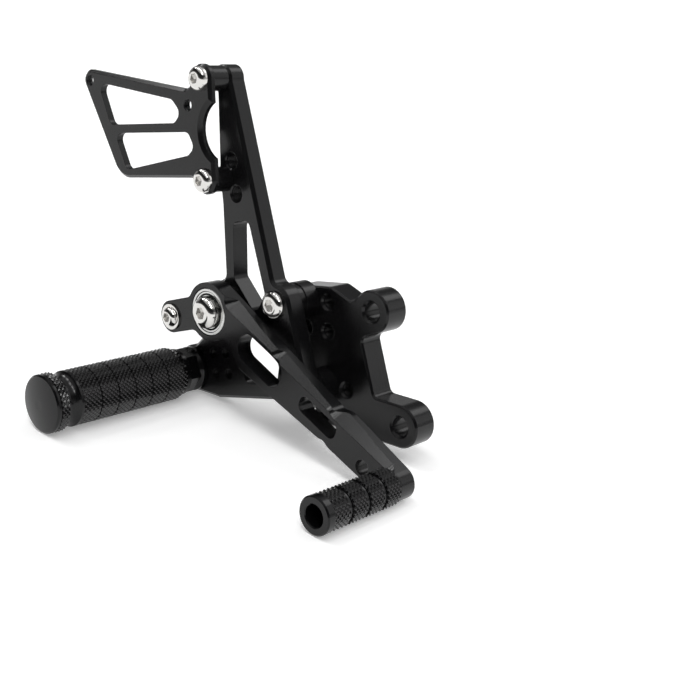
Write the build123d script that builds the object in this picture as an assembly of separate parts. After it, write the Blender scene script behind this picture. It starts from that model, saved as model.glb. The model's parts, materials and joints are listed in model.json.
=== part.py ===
from build123d import *
import math
import os

os.makedirs("parts", exist_ok=True)

# Sizes are in millimetres and angles in degrees.
# Side positions are (forward, up) from the pedal pivot, in the axes of the hanger plate.
# Depths run inward from the outer face of the pedal, so outboard is negative.

# Lean of the hanger plate when the foot peg and the toe peg stand level
PLATE_LEAN = 20.0

# Plates and the gaps between them
PEDAL_THICK = 8.0
GUARD_THICK = 3.2
PIVOT_GAP = 4.0
HANGER_THICK = 8.4
FOOT_RISE = 4.0
STANDOFF = 7.6
MAIN_THICK = 12.0
EDGE_BREAK = 0.8

# Hole centres on the side
FRONT_BOLT = (30.7, 0.6)
LOWER_BOLT = (35.6, -39.0)
UPPER_LUG = (68.8, -6.7)
LOWER_LUG = (77.2, -56.7)
GUARD_TOP = (15.5, 100.8)
GUARD_LOW = (9.5, 57.8)
GUARD_TIP = (-62.7, 112.4)
GUARD_HEEL = (-42.8, 75.4)
FOOT_PEG = (-30.5, -28.0)
EAR = (-26.4, -1.5)

# Main plate
LUG_R = 9.6
FRAME_BOLT_R = 4.25
HOLE_PITCH = 13.3
HOLE_TURN = -9.5
HOLE_BREAK = 1.0

# Hanger plate
HANGER_BOSS_R = 13.2
FOOT_BOSS_R = 9.0
GUARD_LOBE_R = 6.5
PEG_PAD_R = 11.0
RAIL_HALF = 3.2
BRACKET_HOLE_R = 2.25
SPARE_HOLE_R = 3.4
BRACKET_SHIFT = 20.3

# Heel guard
GUARD_BOSS_R = 6.2
GUARD_TIP_R = 5.0
GUARD_HEEL_R = 11.0
GUARD_BREAK = 1.3
GUARD_SPACER_R = 5.5

# Brake pedal
BOSS_R = 13.4
EAR_R = 7.5
ARM_DROP = 37.1
ARM_LENGTH = 120.4
ARM_ROOT = 30.0
ARM_ROOT_R = 10.9
ARM_WAIST = 79.0
ARM_WAIST_R = 7.9
TOE_R = 7.2
TOE_SHIFT = 14.6
ROOT_SLOT_LONG = 28.6
ROOT_SLOT_WIDE = 13.4
TOE_SLOT_LONG = 23.0
TOE_SLOT_WIDE = 7.8
SCOOP_LONG = 31.0
SCOOP_BITE = 2.4
SCOOP_DEPTH = 5.5
SCOOP_SLOPE = 35.0
MILL_R = 5.0

# Pivot bearing
BEARING_R = 11.0
BEARING_WIDE = 7.0
OUTER_WALL = 1.5
INNER_WALL = 2.05
BALL_COUNT = 7
RACE_GAP = 0.04
SEAL_THICK = 0.5
SHIM = 0.5

# Foot peg
PEG_R = 12.0
PEG_FLANGE_R = 10.5
PEG_FLANGE_LONG = 4.0
PEG_HEX = 18.0
PEG_HEX_LONG = 6.0
PEG_COLLAR_R = 11.0
PEG_COLLAR_LONG = 2.5
PEG_TAPER_LONG = 3.2
PEG_GRIP_LONG = 55.1
PEG_BANDS = 6
PEG_LIP_LONG = 1.7
PEG_WAIST_R = 10.3
PEG_WAIST_LONG = 5.4
PEG_BOLT_DEEP = 20.0
CAP_R = 12.9
CAP_RING_LONG = 4.2
CAP_LONG = 7.6
CAP_DOME = 1.2
STUD_DEEP = 14.0
WASHER_R = 8.0
WASHER = 1.6

# Toe peg
TOE_PEG_R = 8.0
TOE_PEG_BAND_R = 7.55
TOE_PEG_LONG = 43.0
TOE_PEG_BORE_R = 4.6
TOE_PEG_FLOOR = 6.0
TOE_PEG_RIM = 3.6
TOE_PEG_BANDS = 4

# Fasteners: shank radii, and heads as (radius, height, socket across flats)
RUN = 0.03
M5_R = 2.5
M6_R = 3.0
M8_R = 4.0
GUARD_HEAD = (5.25, 3.3, 4.0)
STAND_HEAD = (6.2, 3.2, 5.0)
PIVOT_HEAD = (7.3, 4.2, 5.0)
EAR_HEAD = (4.6, 3.2, 4.0)
EAR_FLANGE_R = 6.0
PEG_HEAD = (7.0, 4.4, 5.0)
SHANK_END = 9.0

# Depths that follow from the sizes above
HANGER_OUT = PEDAL_THICK + PIVOT_GAP
HANGER_IN = HANGER_OUT + HANGER_THICK
FOOT_IN = HANGER_IN + FOOT_RISE
MAIN_OUT = FOOT_IN + STANDOFF
MAIN_IN = MAIN_OUT + MAIN_THICK
HEX_OUT = HANGER_OUT - PEG_FLANGE_LONG - PEG_HEX_LONG
GRIP_IN = HEX_OUT - PEG_COLLAR_LONG - PEG_TAPER_LONG
GRIP_OUT = GRIP_IN - PEG_GRIP_LONG
WAIST_IN = GRIP_OUT - PEG_LIP_LONG
PEG_OUT = WAIST_IN - PEG_WAIST_LONG
CAP_FACE = PEG_OUT - CAP_LONG

# The bearing's inner sizes follow from its rings, and the pedal's places from its arm
BEARING_BORE_R = M8_R
INNER_LAND_R = BEARING_BORE_R + INNER_WALL
OUTER_LAND_R = BEARING_R - OUTER_WALL
BALL_PITCH_R = (INNER_LAND_R + OUTER_LAND_R) / 2
BALL_R = 0.565 * (OUTER_LAND_R - INNER_LAND_R)
RACE_R = BALL_R + RACE_GAP
PIVOT = (0.0, 0.0)
ARM_WAY = Vector(1, 0).rotate(Axis.Z, -ARM_DROP)
TOE = (ARM_WAY.X * ARM_LENGTH, ARM_WAY.Y * ARM_LENGTH)


def near(point, forward, up):
    """Side position offset from another one."""
    return (point[0] + forward, point[1] + up)


def halfway(one, other):
    """Side position in the middle of two."""
    return ((one[0] + other[0]) / 2, (one[1] + other[1]) / 2)


def across(centre):
    """Move a turned piece from the pivot to a side position."""
    return Pos(centre[0], 0, centre[1])


def slab(profile, outer, inner):
    """Extrude a side profile between two depths."""
    plane = Plane(origin=(0, outer, 0), x_dir=(1, 0, 0), z_dir=(0, -1, 0))
    return extrude(plane * profile, amount=outer - inner)


def spot(centre, radius):
    """Round side profile."""
    return Pos(*centre) * Circle(radius)


def wrap(*circles):
    """Side profile stretched round some (centre, radius) circles."""
    rims = ShapeList()
    for centre, radius in circles:
        rims += spot(centre, radius).edges()
    return make_hull(rims)


def polygon(*points):
    """Side profile with sharp corners."""
    return make_face(Polyline(*points, close=True))


def rounded(radius, *points):
    """Side profile with one radius on every corner, or a list of them."""
    return make_face(FilletPolyline(*points, radius=radius, close=True))


def hollowed(profile, radius):
    """Round every inside corner of a side profile."""
    return offset(offset(profile, radius), -radius)


def turned(*corners):
    """Turn (radius, depth) corners about the cross axis."""
    return revolve(make_face(Polyline(*corners, close=True)), axis=Axis.Y)


def drilled(solid, holes, radius, rim=0.0, face=0.0):
    """Bore round holes right across, with a bevelled rim on one face."""
    reach = solid.bounding_box()
    for centre in holes:
        solid -= slab(spot(centre, radius), reach.min.Y - 1, reach.max.Y + 1)
        if rim:
            bevel = [(radius + 2 * rim, face - rim), (radius, face + rim)]
            solid -= across(centre) * turned((0, face - rim), *bevel, (0, face + rim))
    return solid


def break_edge(solid, size):
    """Bevel the outline of the outer face."""
    return chamfer(solid.faces().sort_by(Axis.Y)[0].outer_wire().edges(), size)


def hole_group(corner):
    """Two rows of two bolt holes, the first at the given corner."""
    row = Vector(HOLE_PITCH, 0).rotate(Axis.Z, HOLE_TURN)
    return [
        corner,
        near(corner, row.X, row.Y),
        near(corner, row.Y, -row.X),
        near(corner, row.X + row.Y, row.Y - row.X),
    ]


def button_screw(shank_r, long, head):
    """Domed socket screw with its seat at depth zero and its shank inward."""
    head_r, head_high, socket = head
    crown = (head_r * 0.55, -head_high)
    edge = (head_r, -head_high * 0.3)
    dome = ThreePointArc(crown, (head_r * 0.86, -head_high * 0.76), edge)
    shank = [(shank_r, 0), (shank_r, long - 0.5), (shank_r - 0.5, long), (0, long)]
    side = Polyline(edge, (head_r, 0), *shank)
    top = Polyline((0, long), (0, -head_high), crown)
    screw = revolve(make_face(dome + side + top), axis=Axis.Y)
    return screw - slab(hexagon(socket), -head_high - 1, -head_high * 0.35)


def hexagon(flats):
    """Hexagon profile from its width across flats."""
    return RegularPolygon(flats / 2, 6, major_radius=False)


def hex_nut(flats, bore_r, high):
    """Nut standing inward from depth zero, with bevelled corners."""
    corner = flats / math.sqrt(3)
    blank = turned((0, 0), (flats / 2, 0), (corner, 0.9), (corner, high - 0.9), (flats / 2, high), (0, high))
    return slab(hexagon(flats) - Circle(bore_r), 0, high) & blank


def ring(inside, outside, outer, inner):
    """Plain collar between two depths."""
    return turned((inside, outer), (outside, outer), (outside, inner), (inside, inner))


# Main plate: two frame lugs at the front and two groups of bolt holes
corner = near(FRONT_BOLT, -7.6, 6.8)
main_profile = polygon(
    corner,
    near(UPPER_LUG, -22.0, 11.9),
    near(UPPER_LUG, -9.8, 4.2),
    near(UPPER_LUG, -7.4, -12.2),
    near(LOWER_LUG, -13.0, 14.7),
    near(LOWER_LUG, -11.2, -7.2),
    near(LOWER_BOLT, -8.0, -17.2),
)
main_profile = fillet(main_profile.vertices(), 4)
main_profile += wrap((UPPER_LUG, LUG_R), (near(UPPER_LUG, -11.0, -4.2), 7.4))
main_profile += wrap((LOWER_LUG, LUG_R), (near(LOWER_LUG, -15.0, 3.2), LUG_R))
main_plate = break_edge(slab(hollowed(main_profile, 3), MAIN_OUT, MAIN_IN), EDGE_BREAK)
main_plate = drilled(main_plate, [UPPER_LUG, LOWER_LUG], FRAME_BOLT_R, HOLE_BREAK, MAIN_OUT)
adjusters = hole_group(FRONT_BOLT) + hole_group(LOWER_BOLT)
main_plate = drilled(main_plate, adjusters, M6_R + RUN, HOLE_BREAK, MAIN_OUT)

# Hanger plate: guard lobes at the top, two legs down to the pivot and the bolts, peg pad at the rear
blade = polygon(
    near(GUARD_TOP, -2.4, 4.5),
    near(GUARD_TOP, -0.6, 5.9),
    near(GUARD_TOP, 6.0, -3.0),
    near(FRONT_BOLT, 0.4, 12.3),
    FRONT_BOLT,
    PIVOT,
    near(PIVOT, 0.3, HANGER_BOSS_R - 1),
    near(GUARD_LOW, -4.5, -10.4),
    near(GUARD_LOW, -4.0, 0),
)
pad = polygon(
    near(FOOT_PEG, 0, PEG_PAD_R),
    near(FOOT_PEG, 3.6, PEG_PAD_R + 0.4),
    near(FOOT_PEG, 9.0, PEG_PAD_R + 3.8),
    near(PIVOT, -6, -4),
    near(PIVOT, 7, -10),
    (7, LOWER_BOLT[1] + 1),
    (FOOT_PEG[0] + 15, LOWER_BOLT[1] - RAIL_HALF),
    near(FOOT_PEG, 0, -PEG_PAD_R),
)
hanger_profile = blade + pad
hanger_profile += spot(GUARD_TOP, GUARD_LOBE_R - 0.5) + spot(GUARD_LOW, GUARD_LOBE_R)
hanger_profile += spot(FOOT_PEG, PEG_PAD_R)
hanger_profile += wrap((PIVOT, HANGER_BOSS_R), (FRONT_BOLT, FOOT_BOSS_R), (LOWER_BOLT, FOOT_BOSS_R))
hanger_profile += wrap(((FOOT_PEG[0] + 15, LOWER_BOLT[1]), RAIL_HALF), (LOWER_BOLT, RAIL_HALF))
hanger_profile = hollowed(hanger_profile, 4)
leg_window = rounded(
    3.4,
    near(GUARD_LOW, 1.7, -19.3),
    near(GUARD_LOW, 11.8, -19.5),
    near(FRONT_BOLT, -5.0, 4.6),
    near(FRONT_BOLT, -12.7, -4.1),
    near(PIVOT, 6.9, 13.6),
)
leg_window -= spot(PIVOT, HANGER_BOSS_R) + spot(FRONT_BOLT, FOOT_BOSS_R - 2)
pad_window = rounded(
    3.0,
    near(PIVOT, 0.5, -HANGER_BOSS_R - 2.6),
    near(PIVOT, 12, -HANGER_BOSS_R + 2.4),
    near(LOWER_BOLT, -6.5, 13),
    near(LOWER_BOLT, -9.8, RAIL_HALF + 0.6),
    (6, LOWER_BOLT[1] + RAIL_HALF + 0.6),
)
hanger_plate = break_edge(slab(hanger_profile, HANGER_OUT, HANGER_IN), 1.4)
hanger_plate -= slab(leg_window + pad_window, HANGER_OUT, HANGER_IN)
feet = spot(FRONT_BOLT, FOOT_BOSS_R - 1) + spot(LOWER_BOLT, FOOT_BOSS_R - 1)
hanger_plate += slab(feet, HANGER_IN, FOOT_IN)
spares = [near(GUARD_LOW, 5.7, 7.2), near(GUARD_LOW, 6.2, -7.3)]
hanger_plate = drilled(hanger_plate, spares, SPARE_HOLE_R, 0.6, HANGER_OUT)
brackets = [near(FOOT_PEG, BRACKET_SHIFT + x * 4.4, 2.1 + z * 4.8) for x in (-1, 1) for z in (-1, 1)]
hanger_plate = drilled(hanger_plate, brackets, BRACKET_HOLE_R)
hanger_plate = drilled(hanger_plate, [GUARD_TOP, GUARD_LOW, FRONT_BOLT, LOWER_BOLT], M6_R + RUN)
hanger_plate = drilled(hanger_plate, [PIVOT, FOOT_PEG], M8_R + RUN)

# Heel guard: a fin with two windows, behind two screw bosses
guard_rear = halfway(GUARD_TIP, GUARD_HEEL)
guard_profile = wrap(
    (GUARD_TIP, GUARD_TIP_R),
    (GUARD_HEEL, GUARD_HEEL_R),
    (near(GUARD_TOP, -4.4, -6.7), 2),
    (near(GUARD_LOW, -1.8, 3.3), 2),
)
guard_profile += wrap((GUARD_TOP, GUARD_BOSS_R), (near(GUARD_TOP, -5, -10), 6))
guard_profile += wrap((GUARD_LOW, GUARD_BOSS_R), (near(GUARD_LOW, -1, 9), 5.5))
heel_guard = break_edge(slab(hollowed(guard_profile, 4), 0, GUARD_THICK), GUARD_BREAK)
upper_window = rounded(
    3.6,
    near(GUARD_TIP, 5.9, -1.8),
    near(GUARD_TOP, -20.5, -5.8),
    near(GUARD_TOP, -15.4, -12.5),
    near(GUARD_TOP, -20.8, -16.2),
    near(guard_rear, 1.1, -3.8),
)
lower_window = rounded(
    3.4,
    near(guard_rear, 3.3, -8.0),
    near(GUARD_LOW, -6.5, 21.8),
    near(GUARD_LOW, -3.6, 14.5),
    near(GUARD_LOW, -8.5, 11.8),
    near(GUARD_HEEL, -1.5, -7.2),
)
heel_guard -= slab(upper_window + lower_window, 0, GUARD_THICK)
heel_guard = drilled(heel_guard, [GUARD_TOP, GUARD_LOW], M6_R + RUN)
guard_spares = [GUARD_TIP, near(GUARD_TOP, -10.2, -9.8)]
heel_guard = drilled(heel_guard, guard_spares, BRACKET_HOLE_R, 0.4, 0)

# Brake pedal, drawn along its arm and then turned down
arm = wrap(((ARM_ROOT, 0), ARM_ROOT_R), ((ARM_WAIST, 0), ARM_WAIST_R))
arm += wrap(((ARM_WAIST + 9, 0.7), ARM_WAIST_R + 0.6), ((ARM_LENGTH, 0), TOE_R))
arm += wrap(((0, 4), BOSS_R - 4), ((ARM_ROOT, 3), ARM_ROOT_R - 3))
pedal_profile = Rot(0, 0, -ARM_DROP) * arm
pedal_profile += spot(PIVOT, BOSS_R) + wrap((EAR, EAR_R), (near(PIVOT, -8, 0), EAR_R))
brake_pedal = slab(hollowed(pedal_profile, 4), 0, PEDAL_THICK)
slots = Pos(ARM_ROOT + 6.8, 0.3) * RectangleRounded(ROOT_SLOT_LONG, ROOT_SLOT_WIDE, 0.42 * ROOT_SLOT_WIDE)
slots += Pos(ARM_WAIST - 2.8, 0) * RectangleRounded(TOE_SLOT_LONG, TOE_SLOT_WIDE, 0.43 * TOE_SLOT_WIDE)
brake_pedal -= slab(Rot(0, 0, -ARM_DROP) * slots, 0, PEDAL_THICK)
scoops = [
    (ARM_ROOT - 1.0, ARM_ROOT_R, SCOOP_LONG + 3),
    (ARM_WAIST - 17.0, ARM_WAIST_R + 1.0, SCOOP_LONG),
    (ARM_LENGTH - 20.4, TOE_R + 0.5, SCOOP_LONG - 1),
]
face = Plane(origin=(0, 0, 0), x_dir=(1, 0, 0), z_dir=(0, 1, 0))
for along, edge, long in scoops:
    mill = Pos(along, SCOOP_BITE - MILL_R - edge) * SlotOverall(long + 2.4 * MILL_R, 2 * MILL_R)
    brake_pedal -= extrude(face * (Rot(0, 0, ARM_DROP) * mill), amount=SCOOP_DEPTH, taper=SCOOP_SLOPE)
spare_toe = near(TOE, -ARM_WAY.X * TOE_SHIFT - 1.6, -ARM_WAY.Y * TOE_SHIFT - 2.2)
brake_pedal = drilled(brake_pedal, [spare_toe], SPARE_HOLE_R)
brake_pedal = drilled(brake_pedal, [TOE], M5_R + RUN)
brake_pedal = drilled(brake_pedal, [EAR], M6_R + RUN)
brake_pedal -= slab(spot(PIVOT, BEARING_R + 0.01), -1, BEARING_WIDE)
brake_pedal -= slab(spot(PIVOT, OUTER_LAND_R), 0, PEDAL_THICK)

# Pivot bearing: two grooved rings, seven balls in a cage and two seals
middle = BEARING_WIDE / 2
race = Pos(BALL_PITCH_R, middle) * Circle(RACE_R)
inner_land = Pos(INNER_LAND_R - INNER_WALL / 2, middle) * Rectangle(INNER_WALL, BEARING_WIDE)
outer_land = Pos(BEARING_R - OUTER_WALL / 2, middle) * Rectangle(OUTER_WALL, BEARING_WIDE)
outer_land = chamfer(outer_land.vertices().group_by(Axis.X)[-1], OUTER_WALL / 3)
bearing_inner = revolve(inner_land - race, axis=Axis.Y)
bearing_outer = revolve(outer_land - race, axis=Axis.Y)
ball_spots = [Rot(0, 360 * i / BALL_COUNT, 0) * Pos(BALL_PITCH_R, middle, 0) for i in range(BALL_COUNT)]
bearing_balls = Compound([spot_at * Sphere(BALL_R) for spot_at in ball_spots])
bearing_cage = ring(BALL_PITCH_R - 0.5, BALL_PITCH_R + 0.5, 1.0, BEARING_WIDE - 1.0)
for spot_at in ball_spots:
    bearing_cage -= spot_at * Rot(0, 90, 0) * Cylinder(BALL_R + 0.05, 2 * BALL_R)
seal_outer = ring(INNER_LAND_R + 0.3, OUTER_LAND_R, 0.3, 0.3 + SEAL_THICK)
seal_inner = ring(INNER_LAND_R + 0.3, OUTER_LAND_R, BEARING_WIDE - 0.3 - SEAL_THICK, BEARING_WIDE - 0.3)

# Pivot bolt, clamping the inner ring to the hanger
pivot_shim = ring(M8_R + RUN, INNER_LAND_R - 0.2, -SHIM, 0)
pivot_bolt = Pos(0, -SHIM, 0) * button_screw(M8_R, SHIM + HANGER_IN + SHANK_END, PIVOT_HEAD)
pivot_spacer = ring(M8_R + RUN, INNER_LAND_R - 0.2, BEARING_WIDE, HANGER_OUT)
pivot_nut = Pos(0, HANGER_IN, 0) * hex_nut(13, M8_R + RUN, 6.5)

# Pushrod bolt and nut in the ear
pushrod_bolt = button_screw(M6_R, PEDAL_THICK + SHANK_END, EAR_HEAD) + ring(M6_R - 1, EAR_FLANGE_R, -0.9, 0)
pushrod_bolt = across(EAR) * pushrod_bolt
pushrod_nut = across(EAR) * Pos(0, PEDAL_THICK, 0) * hex_nut(10, M6_R + RUN, 5)

# Toe peg: a bored, banded bar screwed to the pedal
toe_peg = turned(
    (M5_R + RUN, 0),
    (TOE_PEG_BAND_R - 0.5, 0),
    (TOE_PEG_BAND_R, -0.5),
    (TOE_PEG_BAND_R, TOE_PEG_RIM - TOE_PEG_LONG),
    (TOE_PEG_R, TOE_PEG_RIM - TOE_PEG_LONG),
    (TOE_PEG_R, 0.6 - TOE_PEG_LONG),
    (TOE_PEG_R - 0.6, -TOE_PEG_LONG),
    (TOE_PEG_BORE_R + 0.4, -TOE_PEG_LONG),
    (TOE_PEG_BORE_R, 0.4 - TOE_PEG_LONG),
    (TOE_PEG_BORE_R, -TOE_PEG_FLOOR),
    (M5_R + RUN, -TOE_PEG_FLOOR),
)
band = (TOE_PEG_LONG - TOE_PEG_RIM) / TOE_PEG_BANDS
for i in range(1, TOE_PEG_BANDS):
    toe_peg -= ring(TOE_PEG_BAND_R - 0.4, TOE_PEG_R, -band * i - 0.75, -band * i + 0.75)
toe_peg = across(TOE) * toe_peg
toe_peg_screw = turned(
    (0, -5),
    (3.9, -5),
    (4.25, -4.65),
    (4.25, 0),
    (M5_R, 0),
    (M5_R, TOE_PEG_FLOOR + PEDAL_THICK - 1),
    (0, TOE_PEG_FLOOR + PEDAL_THICK - 1),
)
toe_peg_screw -= slab(hexagon(4), -6, -2.5)
toe_peg_screw = across(TOE) * Pos(0, -TOE_PEG_FLOOR, 0) * toe_peg_screw

# Foot peg: flange on the hanger, hexagon, collar, taper, banded grip and a hollowed waist
flange = turned(
    (0, HANGER_OUT),
    (PEG_FLANGE_R - 0.6, HANGER_OUT),
    (PEG_FLANGE_R, HANGER_OUT - 0.6),
    (PEG_FLANGE_R, HANGER_OUT - 0.6 * PEG_FLANGE_LONG),
    (PEG_HEX / 2, HANGER_OUT - PEG_FLANGE_LONG),
    (0, HANGER_OUT - PEG_FLANGE_LONG),
)
flats = slab(Rot(0, 0, -PLATE_LEAN) * hexagon(PEG_HEX), HEX_OUT, HANGER_OUT - PEG_FLANGE_LONG)
grip = Polyline(
    (0, PEG_OUT),
    (0, HEX_OUT),
    (PEG_COLLAR_R - 0.5, HEX_OUT),
    (PEG_COLLAR_R, HEX_OUT - 0.5),
    (PEG_COLLAR_R, HEX_OUT - PEG_COLLAR_LONG),
    (PEG_COLLAR_R - 0.4, HEX_OUT - PEG_COLLAR_LONG),
    (PEG_COLLAR_R + 0.1, HEX_OUT - PEG_COLLAR_LONG - 0.6),
    (PEG_R, GRIP_IN),
    (PEG_R, GRIP_OUT),
    (PEG_R + 0.4, GRIP_OUT),
    (PEG_R + 0.4, WAIST_IN + 0.5),
    (PEG_R - 0.2, WAIST_IN),
)
waist_end = (PEG_WAIST_R + 0.4, PEG_OUT)
waist = ThreePointArc((PEG_R - 0.2, WAIST_IN), (PEG_WAIST_R, PEG_OUT + 0.4 * PEG_WAIST_LONG), waist_end)
foot_peg = revolve(make_face(grip + waist + Line(waist_end, (0, PEG_OUT))), axis=Axis.Y)
for i in range(1, PEG_BANDS):
    cut = GRIP_IN - PEG_GRIP_LONG * i / PEG_BANDS
    foot_peg -= ring(PEG_R - 0.3, PEG_R + 1, cut - 0.25, cut + 0.25)
foot_peg += flange + flats
foot_peg -= ring(0, M8_R + RUN, HANGER_OUT - PEG_BOLT_DEEP - 2, HANGER_OUT)
foot_peg -= ring(0, M6_R + RUN, PEG_OUT, PEG_OUT + STUD_DEEP + 1)
foot_peg = across(FOOT_PEG) * foot_peg

# End cap on its stud: grip ring, groove and domed head
crown = (0.2 * CAP_R, CAP_FACE)
rim = (CAP_R - 0.7, CAP_FACE + CAP_DOME)
cap_side = Polyline(
    crown,
    (0, CAP_FACE),
    (0, PEG_OUT),
    (CAP_R - 0.8, PEG_OUT),
    (CAP_R - 0.3, PEG_OUT - 0.5),
    (CAP_R - 0.3, PEG_OUT - CAP_RING_LONG),
    (CAP_R - 1.0, PEG_OUT - CAP_RING_LONG),
    (CAP_R - 1.0, PEG_OUT - CAP_RING_LONG - 0.4),
    (CAP_R, PEG_OUT - CAP_RING_LONG - 0.4),
    (CAP_R, CAP_FACE + CAP_DOME + 0.7),
    rim,
)
cap_dome = ThreePointArc(rim, (0.6 * CAP_R, CAP_FACE + 0.36 * CAP_DOME), crown)
stud_end = PEG_OUT - 0.7 * CAP_LONG
peg_cap = revolve(make_face(cap_side + cap_dome), axis=Axis.Y) - ring(0, M6_R + RUN, stud_end - 0.4, PEG_OUT)
peg_cap = across(FOOT_PEG) * peg_cap
peg_stud = across(FOOT_PEG) * ring(0, M6_R, stud_end, PEG_OUT + STUD_DEEP)
peg_washer = across(FOOT_PEG) * ring(M8_R + RUN, WASHER_R, HANGER_IN, HANGER_IN + WASHER)
peg_bolt = Rot(180, 0, 0) * button_screw(M8_R, WASHER + HANGER_THICK + PEG_BOLT_DEEP, PEG_HEAD)
peg_bolt = across(FOOT_PEG) * Pos(0, HANGER_IN + WASHER, 0) * peg_bolt

# Screws and spacers between the plates
guard_spacer = ring(M6_R + RUN, GUARD_SPACER_R, GUARD_THICK, HANGER_OUT)
guard_screw = button_screw(M6_R, HANGER_IN - 2, GUARD_HEAD)
stand_spacer = ring(M6_R + RUN, FOOT_BOSS_R - 0.6, FOOT_IN, MAIN_OUT)
stand_bolt = Pos(0, HANGER_OUT, 0) * button_screw(M6_R, MAIN_IN - HANGER_OUT - 1, STAND_HEAD)

pieces = {
    "main_plate": main_plate,
    "hanger_plate": hanger_plate,
    "heel_guard": heel_guard,
    "guard_spacer_upper": across(GUARD_TOP) * guard_spacer,
    "guard_spacer_lower": across(GUARD_LOW) * guard_spacer,
    "guard_screw_upper": across(GUARD_TOP) * guard_screw,
    "guard_screw_lower": across(GUARD_LOW) * guard_screw,
    "front_spacer": across(FRONT_BOLT) * stand_spacer,
    "lower_spacer": across(LOWER_BOLT) * stand_spacer,
    "front_bolt": across(FRONT_BOLT) * stand_bolt,
    "lower_bolt": across(LOWER_BOLT) * stand_bolt,
    "brake_pedal": brake_pedal,
    "bearing_outer_ring": bearing_outer,
    "bearing_inner_ring": bearing_inner,
    "bearing_balls": bearing_balls,
    "bearing_cage": bearing_cage,
    "bearing_seal_outer": seal_outer,
    "bearing_seal_inner": seal_inner,
    "pivot_bolt": pivot_bolt,
    "pivot_shim": pivot_shim,
    "pivot_spacer": pivot_spacer,
    "pivot_nut": pivot_nut,
    "pushrod_bolt": pushrod_bolt,
    "pushrod_nut": pushrod_nut,
    "toe_peg": toe_peg,
    "toe_peg_screw": toe_peg_screw,
    "foot_peg": foot_peg,
    "peg_cap": peg_cap,
    "peg_stud": peg_stud,
    "peg_bolt": peg_bolt,
    "peg_washer": peg_washer,
}

# The frame starts at the upper frame bolt, on the inner face of the main plate
level = Rot(0, -PLATE_LEAN, 0) * Pos(-UPPER_LUG[0], -MAIN_IN, -UPPER_LUG[1])
for node, piece in pieces.items():
    export_step(level * piece, f"parts/{node}.step")
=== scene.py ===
"""Dresses the rear-set footrest: finishes, knurling, threads, the guard's front edge, studio and camera."""

import json
import math

import bmesh
import bpy
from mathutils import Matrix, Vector


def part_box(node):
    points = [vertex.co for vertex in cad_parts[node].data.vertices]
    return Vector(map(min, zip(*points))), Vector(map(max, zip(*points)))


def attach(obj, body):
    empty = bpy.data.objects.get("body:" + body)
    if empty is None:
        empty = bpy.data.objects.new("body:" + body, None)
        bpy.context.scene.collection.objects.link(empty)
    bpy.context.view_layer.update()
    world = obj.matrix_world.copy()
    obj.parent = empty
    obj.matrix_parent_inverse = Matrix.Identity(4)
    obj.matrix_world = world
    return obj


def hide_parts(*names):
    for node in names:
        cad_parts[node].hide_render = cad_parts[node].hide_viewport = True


# Sizes in millimetres and degrees, as on the part
MM = 0.001
PLATE_LEAN = 20.0
HANGER_THICK = 8.4

# Foot peg and its cap
PEG_R = 12.0
PEG_ROOT_LONG = 12.5
PEG_TAPER_R = 11.1
PEG_TAPER_LONG = 3.2
PEG_TAPER_BARE = 0.6
PEG_GRIP_LONG = 55.1
PEG_BANDS = 6
PEG_GROOVE = 0.6
CAP_RING_R = 12.6
CAP_RING_LONG = 4.2
CAP_BREAK = 0.5

# Toe peg
TOE_BAND_R = 7.55
TOE_LONG = 43.0
TOE_RIM = 3.6
TOE_BANDS = 4
TOE_GROOVE = 2.2

# Knurling
KNURL_HIGH = 0.5
KNURL_VALLEY = 0.02
KNURL_PITCH = 2.1
KNURL_SINK = 0.06

# Empty holes, as (forward, up) from the screw or bolt that they are set out from
HOLE_PITCH = 13.3
HOLE_TURN = -9.5
HOLE_BREAK = 1.0
M6_HOLE_R = 3.03
SPARE_HOLES = ((5.7, 7.2), (6.2, -7.3))
SPARE_HOLE_R = 3.4
HANGER_HOLE_BREAK = 0.6
PAD_HOLES = ((15.9, -2.7), (15.9, 6.9), (24.7, -2.7), (24.7, 6.9))
GUARD_HOLES = ((-78.2, 11.6), (-10.2, -9.8))
GUARD_HOLE_BREAK = 0.4
SMALL_HOLE_R = 2.25

# Threads, with flank and height as shares of the pitch
THREAD_PITCH = 1.0
SMALL_THREAD_PITCH = 0.7
THREAD_FLANK = 0.46
HOLE_THREAD_HIGH = 0.4
BOLT_THREAD_HIGH = 0.28
THREAD_STEPS = 40
BOLT_ENDS = (("pivot_bolt", "pivot_nut", 4.0, "bracket"), ("pushrod_bolt", "pushrod_nut", 3.0, "pedal"))

# Dark rings on the bearing's outer seal, painted shade lines in its gaps, as (inside, outside) radii
SEAL_SHADE_RINGS = ((7.6, 8.5), (9.15, 9.5))
SEAL_DEEP = 0.3
SEAL_STEPS = 96

# Front edge of the heel guard, with places as (forward, up) from its upper screw
GUARD_THICK = 3.2
GUARD_BOSS_R = 6.2
GUARD_BREAK = 1.3
BITE_AT = (9.1, -23.6)
BITE_R = 13.3
BITE_BREAK = 2.0
BITE_STEPS = 120
CUT_OVER = 1.0
WEB_ROOT_R = 4.0
WEB_INSIDE = ((-3.5, -39.5), (-8.0, -35.0), (-8.4, -28.5), (-8.2, -18.0), (-6.5, -9.5), (2.5, -3.4))
WELD = 0.001
SHARP_EDGE = 20

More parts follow.
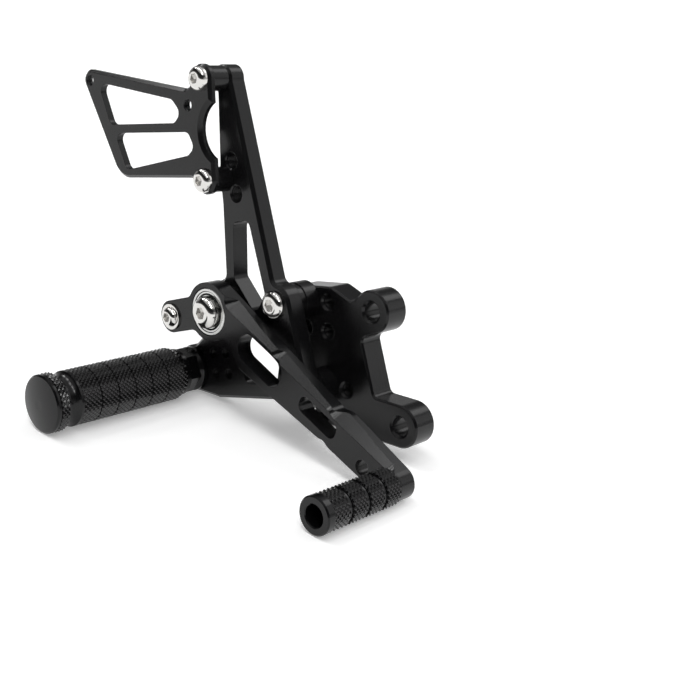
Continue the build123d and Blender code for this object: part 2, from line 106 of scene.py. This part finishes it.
# Finishes: colour, metallic, roughness, edge rounding and grain depth in millimetres, and gleam
FINISHES = {
    "plate_black": ((0.006, 0.006, 0.0065), 0.0, 0.22, 0.35, 0.008, 0.32),
    "spacer_black": ((0.006, 0.006, 0.0065), 0.0, 0.24, 0.3, 0.006, 0.32),
    "peg_black": ((0.004, 0.004, 0.0045), 0.0, 0.2, 0.06, 0.006, 0.32),
    "knurl_black": ((0.003, 0.003, 0.0033), 0.0, 0.15, 0.04, 0.004, 0.52),
    "screw_steel": ((0.68, 0.67, 0.65), 1.0, 0.1, 0.25, 0.003, 0.32),
    "bearing_steel": ((0.6, 0.6, 0.59), 1.0, 0.2, 0.2, 0.003, 0.32),
}
GRAIN_SCALE = 2200
GRAIN_DETAIL = 3
GRAIN_STRENGTH = 0.2
GLOSS_SPREAD = 0.05
EDGE_SAMPLES = 4

# Floor, with its width in metres
FLOOR_WIDE = 30
FLOOR_GAP = 0.3
LUG_END = 10.0
FLOOR_COLOUR = (0.97, 0.97, 0.97, 1)
FLOOR_ROUGHNESS = 0.7
FLOOR_GLEAM = 0.2
FLOOR_LIFT = 0.3

# The surroundings' shades, as (from, to, shade from, shade to) along a direction
WALLS_BY_HEIGHT = (0.26, 0.34, 0.5, 0.1)
WALLS_BY_DEPTH = (-0.45, 0.1, 0.08, 1.0)
CEILING_BY_HEIGHT = (0.56, 0.72, 0.0, 0.5)

# Lamps: a strip overhead by its directions, and (name, direction, energy, angle) of those behind
STRIP = ((-0.75, -0.1, 0.65), (-0.4, -0.2, 0.85), (0.0, -0.25, 0.95), (0.3, -0.35, 0.88), (0.55, -0.4, 0.72))
STRIP_ENERGY = 0.34
STRIP_ANGLE = 13
BACK_LAMPS = (("back", (0.1, 0.66, 0.74), 0.3, 26), ("back_right", (0.57, 0.67, 0.47), 0.18, 30))

# The photograph's camera, in metres and degrees, with lens and sensor in millimetres
CAMERA_AT = (0.29291, -0.3756, 0.15837)
CAMERA_TURN = (69.053, -7.903, 42.658)
CAMERA_LENS = 59.12
CAMERA_SENSOR = 36
CAMERA_NEAR = 0.01

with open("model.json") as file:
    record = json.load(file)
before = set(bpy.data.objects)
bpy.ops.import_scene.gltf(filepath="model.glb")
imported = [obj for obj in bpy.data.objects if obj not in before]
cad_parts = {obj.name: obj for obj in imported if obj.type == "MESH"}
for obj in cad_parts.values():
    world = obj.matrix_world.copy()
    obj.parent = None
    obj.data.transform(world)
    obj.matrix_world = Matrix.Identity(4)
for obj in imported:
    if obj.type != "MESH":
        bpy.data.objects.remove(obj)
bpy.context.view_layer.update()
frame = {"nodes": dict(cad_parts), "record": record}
nodes = frame["nodes"]


# Finishes


def finish_material(name, colour, metallic, roughness, edge_round, grain_depth, gleam):
    """Metal with softened edges, a fine grain and slightly uneven gloss."""
    material = bpy.data.materials.new(name)
    material.use_nodes = True
    tree = material.node_tree
    shader = tree.nodes["Principled BSDF"]
    shader.inputs["Base Color"].default_value = (*colour, 1)
    shader.inputs["Specular IOR Level"].default_value = gleam
    shader.inputs["Metallic"].default_value = metallic
    place = tree.nodes.new("ShaderNodeTexCoord")
    grain = tree.nodes.new("ShaderNodeTexNoise")
    grain.inputs["Scale"].default_value = GRAIN_SCALE
    grain.inputs["Detail"].default_value = GRAIN_DETAIL
    gloss = tree.nodes.new("ShaderNodeMapRange")
    gloss.inputs["To Min"].default_value = roughness - GLOSS_SPREAD
    gloss.inputs["To Max"].default_value = roughness + GLOSS_SPREAD
    edge = tree.nodes.new("ShaderNodeBevel")
    edge.samples = EDGE_SAMPLES
    edge.inputs["Radius"].default_value = edge_round * MM
    bump = tree.nodes.new("ShaderNodeBump")
    bump.inputs["Strength"].default_value = GRAIN_STRENGTH
    bump.inputs["Distance"].default_value = grain_depth * MM
    tree.links.new(place.outputs["Object"], grain.inputs["Vector"])
    tree.links.new(grain.outputs["Fac"], gloss.inputs["Value"])
    tree.links.new(gloss.outputs["Result"], shader.inputs["Roughness"])
    tree.links.new(grain.outputs["Fac"], bump.inputs["Height"])
    tree.links.new(edge.outputs["Normal"], bump.inputs["Normal"])
    tree.links.new(bump.outputs["Normal"], shader.inputs["Normal"])
    return material


finishes = {name: finish_material(name, *look) for name, look in FINISHES.items()}
for subpart in frame["record"]["subparts"]:
    mesh = nodes[subpart["node"]].data
    mesh.materials.clear()
    mesh.materials.append(finishes[subpart["material_slot"]])


# Places and meshes


def middle(node):
    """Centre of a node's box."""
    low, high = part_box(node)
    return (low + high) / 2


def inner_end(node):
    """Depth of a node's inner end, in millimetres."""
    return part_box(node)[1].y / MM


def outer_end(node):
    """Depth of a node's outer end, in millimetres."""
    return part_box(node)[0].y / MM


def around(centre, radius, turn, depth):
    """Point on a circle about a cross axis, in metres."""
    x = centre.x + radius * MM * math.cos(turn)
    z = centre.z + radius * MM * math.sin(turn)
    return (x, depth * MM, z)


def turned(forward, up, angle):
    """Side offset turned by an angle."""
    lean = math.radians(angle)
    x = math.cos(lean) * forward - math.sin(lean) * up
    z = math.sin(lean) * forward + math.cos(lean) * up
    return (x, z)


def turned_side(forward, up):
    """Offset on the plates' side, in metres along the part's axes."""
    x, z = turned(forward, up, PLATE_LEAN)
    return Vector((x, 0, z)) * MM


def add_object(name, data):
    """New object in the scene."""
    piece = bpy.data.objects.new(name, data)
    bpy.context.scene.collection.objects.link(piece)
    return piece


def closed_mesh(name, points, faces):
    """Mesh of a closed shape, with its faces turned outward."""
    mesh = bpy.data.meshes.new(name)
    mesh.from_pydata(points, [], faces)
    shape = bmesh.new()
    shape.from_mesh(mesh)
    bmesh.ops.recalc_face_normals(shape, faces=shape.faces)
    shape.to_mesh(mesh)
    shape.free()
    return mesh


def add_piece(name, points, faces, body, slot, finish=None):
    """New piece in the part's frame, riding on a body."""
    mesh = closed_mesh(name, points, faces)
    mesh.materials.append(finishes[finish or slot])
    piece = add_object(name, mesh)
    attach(piece, body)


# Knurling


def knurl(name, centre, start, stop, start_r, stop_r, body):
    """Sleeve of diamond points round a cross axis: valleys and tips alternate on a grid."""
    count = 2 * round(math.pi * (start_r + stop_r) / KNURL_PITCH)
    rows = 2 * max(1, round((stop - start) / KNURL_PITCH))
    turns = [2 * math.pi * i / count for i in range(count)]
    points = []
    for j in range(rows + 1):
        share = j / rows
        foot = start_r + (stop_r - start_r) * share
        depth = start + (stop - start) * share
        for i, turn in enumerate(turns):
            tip = KNURL_HIGH if (i + j) % 2 else KNURL_VALLEY
            points.append(around(centre, foot + tip, turn, depth))
    faces = []
    for j in range(rows):
        for i in range(count):
            a = j * count + i
            b = j * count + (i + 1) % count
            c = b + count
            d = a + count
            if (i + j) % 2:
                faces += [(a, b, d), (b, c, d)]
            else:
                faces += [(a, b, c), (a, c, d)]
    # Inner wall, sunk into the peg, and the two ends
    inside = len(points)
    for depth, foot in ((start, start_r), (stop, stop_r)):
        points += [around(centre, foot - KNURL_SINK, turn, depth) for turn in turns]
    for i in range(count):
        j = (i + 1) % count
        low, far = inside + i, inside + j
        faces.append((j, i, low, far))
        faces.append((rows * count + i, rows * count + j, far + count, low + count))
        faces.append((far, low, low + count, far + count))
    add_piece(name, points, faces, body, "peg_black", "knurl_black")


def knurl_foot_peg():
    """Bands of the grip between its ring grooves, and the taper at its root."""
    centre = middle("foot_peg")
    grip_in = inner_end("foot_peg") - PEG_ROOT_LONG - PEG_TAPER_LONG
    taper_end = grip_in + PEG_TAPER_LONG - PEG_TAPER_BARE
    knurl("foot_peg_knurl_taper", centre, grip_in, taper_end, PEG_R, PEG_TAPER_R, "bracket")
    band = PEG_GRIP_LONG / PEG_BANDS
    for i in range(PEG_BANDS):
        top = grip_in - band * i - (PEG_GROOVE / 2 if i else 0)
        foot = grip_in - band * (i + 1) + (PEG_GROOVE / 2 if i < PEG_BANDS - 1 else 0)
        knurl(f"foot_peg_knurl_{i + 1}", centre, foot, top, PEG_R, PEG_R, "bracket")


def knurl_cap():
    """Grip ring of the end cap."""
    root = inner_end("peg_cap")
    ring = (root - CAP_RING_LONG, root - CAP_BREAK)
    knurl("peg_cap_knurl", middle("peg_cap"), *ring, CAP_RING_R, CAP_RING_R, "bracket")


def knurl_toe_peg():
    """Bands of the toe peg."""
    centre = middle("toe_peg")
    root = inner_end("toe_peg")
    band = (TOE_LONG - TOE_RIM) / TOE_BANDS
    for i in range(TOE_BANDS):
        top = root - band * i - TOE_GROOVE / 2
        foot = root - band * (i + 1) + (TOE_GROOVE / 2 if i < TOE_BANDS - 1 else 0)
        knurl(f"toe_peg_knurl_{i + 1}", centre, foot, top, TOE_BAND_R, TOE_BAND_R, "pedal")


# Threads and seal


def thread(name, centre, start, stop, root_r, crest_r, pitch, body, slot):
    """Helical ridge between two depths, standing out from a shank or in from a hole."""
    turns = int((stop - start) / pitch) - 1
    points = []
    for i in range(turns * THREAD_STEPS + 1):
        turn = 2 * math.pi * i / THREAD_STEPS
        depth = start + pitch * (0.5 + i / THREAD_STEPS)
        points.append(around(centre, root_r, turn, depth - THREAD_FLANK * pitch))
        points.append(around(centre, crest_r, turn, depth))
        points.append(around(centre, root_r, turn, depth + THREAD_FLANK * pitch))
    faces = []
    for i in range(turns * THREAD_STEPS):
        a = 3 * i
        faces += [(a, a + 1, a + 4, a + 3), (a + 1, a + 2, a + 5, a + 4), (a + 2, a, a + 3, a + 5)]
    last = 3 * turns * THREAD_STEPS
    faces += [(0, 1, 2), (last, last + 2, last + 1)]
    add_piece(name, points, faces, body, slot)


def thread_hole(name, centre, span, radius, pitch=THREAD_PITCH):
    """Thread that stands in from the wall of a plate's hole."""
    crest = radius - HOLE_THREAD_HIGH * pitch
    thread(name, centre, *span, radius, crest, pitch, "bracket", "plate_black")


def thread_holes():
    """Threads in the empty holes of main plate, hanger and heel guard."""
    turn = math.radians(HOLE_TURN)
    row = (HOLE_PITCH * math.cos(turn), HOLE_PITCH * math.sin(turn))
    empty = [row, (row[1], -row[0]), (row[0] + row[1], row[1] - row[0])]
    span = (outer_end("main_plate") + HOLE_BREAK, inner_end("main_plate"))
    for bolt in ("front_bolt", "lower_bolt"):
        for i, shift in enumerate(empty, 1):
            centre = middle(bolt) + turned_side(*shift)
            thread_hole(f"{bolt}_hole_thread_{i}", centre, span, M6_HOLE_R)
    span = (outer_end("hanger_plate") + HANGER_HOLE_BREAK, outer_end("hanger_plate") + HANGER_THICK)
    for i, shift in enumerate(SPARE_HOLES, 1):
        centre = middle("guard_screw_lower") + turned_side(*shift)
        thread_hole(f"spare_hole_thread_{i}", centre, span, SPARE_HOLE_R)
    for i, shift in enumerate(PAD_HOLES, 1):
        centre = middle("peg_bolt") + turned_side(*shift)
        thread_hole(f"pad_hole_thread_{i}", centre, span, SMALL_HOLE_R, SMALL_THREAD_PITCH)
    span = (outer_end("heel_guard") + GUARD_HOLE_BREAK, inner_end("heel_guard"))
    for i, shift in enumerate(GUARD_HOLES, 1):
        centre = middle("guard_screw_upper") + turned_side(*shift)
        thread_hole(f"guard_hole_thread_{i}", centre, span, SMALL_HOLE_R, SMALL_THREAD_PITCH)


def thread_ends():
    """Threads on the ends of the pivot bolt and the pushrod bolt, past their nuts."""
    for bolt, nut, radius, body in BOLT_ENDS:
        span = (inner_end(nut), inner_end(bolt))
        crest = radius + BOLT_THREAD_HIGH * THREAD_PITCH
        thread(f"{bolt}_thread", middle(bolt), *span, radius, crest, THREAD_PITCH, body, "screw_steel")


def paint_seal_shade():
    """Dark raised rings on the outer seal of the bearing: painted shade lines in its gaps."""
    centre = middle("bearing_seal_outer")
    face = outer_end("bearing_seal_outer")
    for i, (inside, outside) in enumerate(SEAL_SHADE_RINGS, 1):
        points = []
        for j in range(SEAL_STEPS):
            turn = 2 * math.pi * j / SEAL_STEPS
            points.append(around(centre, inside, turn, face))
            points.append(around(centre, (inside + outside) / 2, turn, face - SEAL_DEEP / 2))
            points.append(around(centre, outside, turn, face))
        faces = []
        for j in range(SEAL_STEPS):
            a = 3 * j
            b = 3 * ((j + 1) % SEAL_STEPS)
            faces += [(a, a + 1, b + 1, b), (a + 1, a + 2, b + 2, b + 1), (a + 2, a, b, b + 2)]
        # Black rings in the spacer finish: painted shade where the seal meets the bolt head and the outer
        # ring
        add_piece(f"bearing_seal_shade_ring_{i}", points, faces, "pedal", "spacer_black")


# Heel guard: the CAD guard's mesh with its front edge filled out from boss to boss, then bitten


def add_tool(name, rings):
    """Closed shape through rings of points, for joining or cutting."""
    count = len(rings[0])
    points = [point for ring in rings for point in ring]
    last = len(points) - count
    faces = []
    for a in range(last):
        b = a + 1 if (a + 1) % count else a + 1 - count
        faces.append((a, b, b + count, a + count))
    faces += [tuple(range(count)), tuple(range(last, len(points)))]
    return add_object(name, closed_mesh(name, points, faces))


def guard_web(top, face):
    """Front of the guard, straight from boss to boss, with the guard's bevel."""
    drop = middle("guard_screw_lower") - top
    low = Vector(turned(drop.x, drop.z, -PLATE_LEAN)) / MM
    out = Vector((-low.y, low.x)).normalized()
    root = out * WEB_ROOT_R
    rings = []
    for depth, inset in ((0, GUARD_BREAK), (GUARD_BREAK, 0), (GUARD_THICK, 0)):
        edge = out * (GUARD_BOSS_R - inset)
        corners = [edge, low + edge, low + root, *WEB_INSIDE, root]
        start = Vector((top.x, face + depth * MM, top.z))
        rings.append([start + turned_side(*corner) for corner in corners])
    return add_tool("guard_web", rings)


def guard_bite(top, face):
    """Round bite between the bosses, wider at the outer face."""
    centre = top + turned_side(*BITE_AT)
    mouth_r = BITE_R + BITE_BREAK * (1 + CUT_OVER / GUARD_BREAK)
    turns = [2 * math.pi * i / BITE_STEPS for i in range(BITE_STEPS)]
    rings = []
    for depth, radius in ((-CUT_OVER, mouth_r), (GUARD_BREAK, BITE_R), (GUARD_THICK + CUT_OVER, BITE_R)):
        rings.append([around(centre, radius, turn, face / MM + depth) for turn in turns])
    return add_tool("guard_bite", rings)


def bite_guard():
    """Guard that stands for the CAD one, with the photograph's front edge."""
    top = middle("guard_screw_upper")
    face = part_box("heel_guard")[0].y
    guard = add_object("heel_guard_bitten", nodes["heel_guard"].data.copy())
    for tool, operation in ((guard_web(top, face), "UNION"), (guard_bite(top, face), "DIFFERENCE")):
        step = guard.modifiers.new(tool.name, "BOOLEAN")
        step.operation = operation
        step.object = tool
        step.solver = "EXACT"
        result = guard.evaluated_get(bpy.context.evaluated_depsgraph_get())
        mesh = bpy.data.meshes.new_from_object(result)
        guard.modifiers.clear()
        guard.data = mesh
        bpy.data.objects.remove(tool)
    shape = bmesh.new()
    shape.from_mesh(mesh)
    bmesh.ops.remove_doubles(shape, verts=shape.verts, dist=WELD * MM)
    shape.to_mesh(mesh)
    shape.free()
    # The CAD mesh's own normals no longer fit
    mesh.attributes.remove(mesh.attributes["custom_normal"])
    mesh.materials.clear()
    mesh.materials.append(finishes["plate_black"])
    for polygon in mesh.polygons:
        polygon.material_index = 0
        polygon.use_smooth = True
    mesh.set_sharp_from_angle(angle=math.radians(SHARP_EDGE))
    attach(guard, "bracket")
    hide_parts("heel_guard")


bite_guard()
knurl_foot_peg()
knurl_cap()
knurl_toe_peg()
thread_holes()
thread_ends()
paint_seal_shade()


# Studio


def contact(node):
    """Lowest point of a round node, at its outer end."""
    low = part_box(node)[0]
    return Vector((middle(node).x, low.y, low.z))


def floor_material():
    """Pale floor, lifted where the camera or a reflection sees it, so that its shadows stay light."""
    material = bpy.data.materials.new("floor_white")
    material.use_nodes = True
    tree = material.node_tree
    shader = tree.nodes["Principled BSDF"]
    shader.inputs["Base Color"].default_value = FLOOR_COLOUR
    shader.inputs["Roughness"].default_value = FLOOR_ROUGHNESS
    shader.inputs["Specular IOR Level"].default_value = FLOOR_GLEAM
    shader.inputs["Emission Color"].default_value = (1, 1, 1, 1)
    ray = tree.nodes.new("ShaderNodeLightPath")
    seen = tree.nodes.new("ShaderNodeMath")
    seen.operation = "ADD"
    seen.use_clamp = True
    lift = tree.nodes.new("ShaderNodeMath")
    lift.operation = "MULTIPLY"
    lift.inputs[1].default_value = FLOOR_LIFT
    tree.links.new(ray.outputs["Is Camera Ray"], seen.inputs[0])
    tree.links.new(ray.outputs["Is Glossy Ray"], seen.inputs[1])
    tree.links.new(seen.outputs["Value"], lift.inputs[0])
    tree.links.new(lift.outputs["Value"], shader.inputs["Emission Strength"])
    return material


def studio_floor():
    """Floor through the three places where the part rests: cap, toe peg and lower lug."""
    cap = contact("peg_cap")
    toe = contact("toe_peg")
    low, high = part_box("main_plate")
    lug = Vector((high.x - LUG_END * MM, low.y, low.z))
    up = (toe - cap).cross(lug - cap).normalized()
    bpy.ops.mesh.primitive_plane_add(size=FLOOR_WIDE, location=cap - up * FLOOR_GAP * MM)
    floor = bpy.context.object
    floor.name = "floor"
    floor.rotation_mode = "QUATERNION"
    floor.rotation_quaternion = up.to_track_quat("Z", "Y")
    floor.data.materials.append(floor_material())


def add_sun(name, toward, energy, angle):
    """Far lamp in a direction, with its disc as an angle."""
    sun = bpy.data.lights.new(name, "SUN")
    sun.energy = energy
    sun.angle = math.radians(angle)
    lamp = add_object(name, sun)
    lamp.rotation_mode = "QUATERNION"
    lamp.rotation_quaternion = Vector(toward).to_track_quat("Z", "Y")


def studio_world():
    """Pale ceiling and back wall, white to the camera."""
    world = bpy.data.worlds.new("studio")
    world.use_nodes = True
    tree = world.node_tree
    place = tree.nodes.new("ShaderNodeTexCoord")
    toward = tree.nodes.new("ShaderNodeSeparateXYZ")
    tree.links.new(place.outputs["Generated"], toward.inputs["Vector"])
    shade = tree.nodes.new("ShaderNodeMath")
    shade.operation = "MULTIPLY_ADD"
    ramps = (("Z", WALLS_BY_HEIGHT), ("Y", WALLS_BY_DEPTH), ("Z", CEILING_BY_HEIGHT))
    for i, (axis, limits) in enumerate(ramps):
        ramp = tree.nodes.new("ShaderNodeMapRange")
        for socket, limit in zip(("From Min", "From Max", "To Min", "To Max"), limits):
            ramp.inputs[socket].default_value = limit
        tree.links.new(toward.outputs[axis], ramp.inputs["Value"])
        tree.links.new(ramp.outputs["Result"], shade.inputs[i])
    ray = tree.nodes.new("ShaderNodeLightPath")
    seen = tree.nodes.new("ShaderNodeMath")
    seen.operation = "MAXIMUM"
    tree.links.new(shade.outputs["Value"], seen.inputs[0])
    tree.links.new(ray.outputs["Is Camera Ray"], seen.inputs[1])
    tree.links.new(seen.outputs["Value"], tree.nodes["Background"].inputs["Color"])
    bpy.context.scene.world = world


def studio_lamps():
    """Strip of soft lamps overhead, and two behind."""
    for i, toward in enumerate(STRIP, 1):
        add_sun(f"strip_{i}", toward, STRIP_ENERGY, STRIP_ANGLE)
    for lamp in BACK_LAMPS:
        add_sun(*lamp)


def photo_camera():
    """Camera at the photograph's place."""
    camera = bpy.data.cameras.new("photo_camera")
    camera.lens = CAMERA_LENS
    camera.sensor_width = CAMERA_SENSOR
    camera.clip_start = CAMERA_NEAR
    seat = add_object("photo_camera", camera)
    seat.location = CAMERA_AT
    seat.rotation_euler = [math.radians(turn) for turn in CAMERA_TURN]
    bpy.context.scene.camera = seat


studio_floor()
studio_world()
studio_lamps()
photo_camera()
bpy.context.scene.view_settings.view_transform = "Standard"
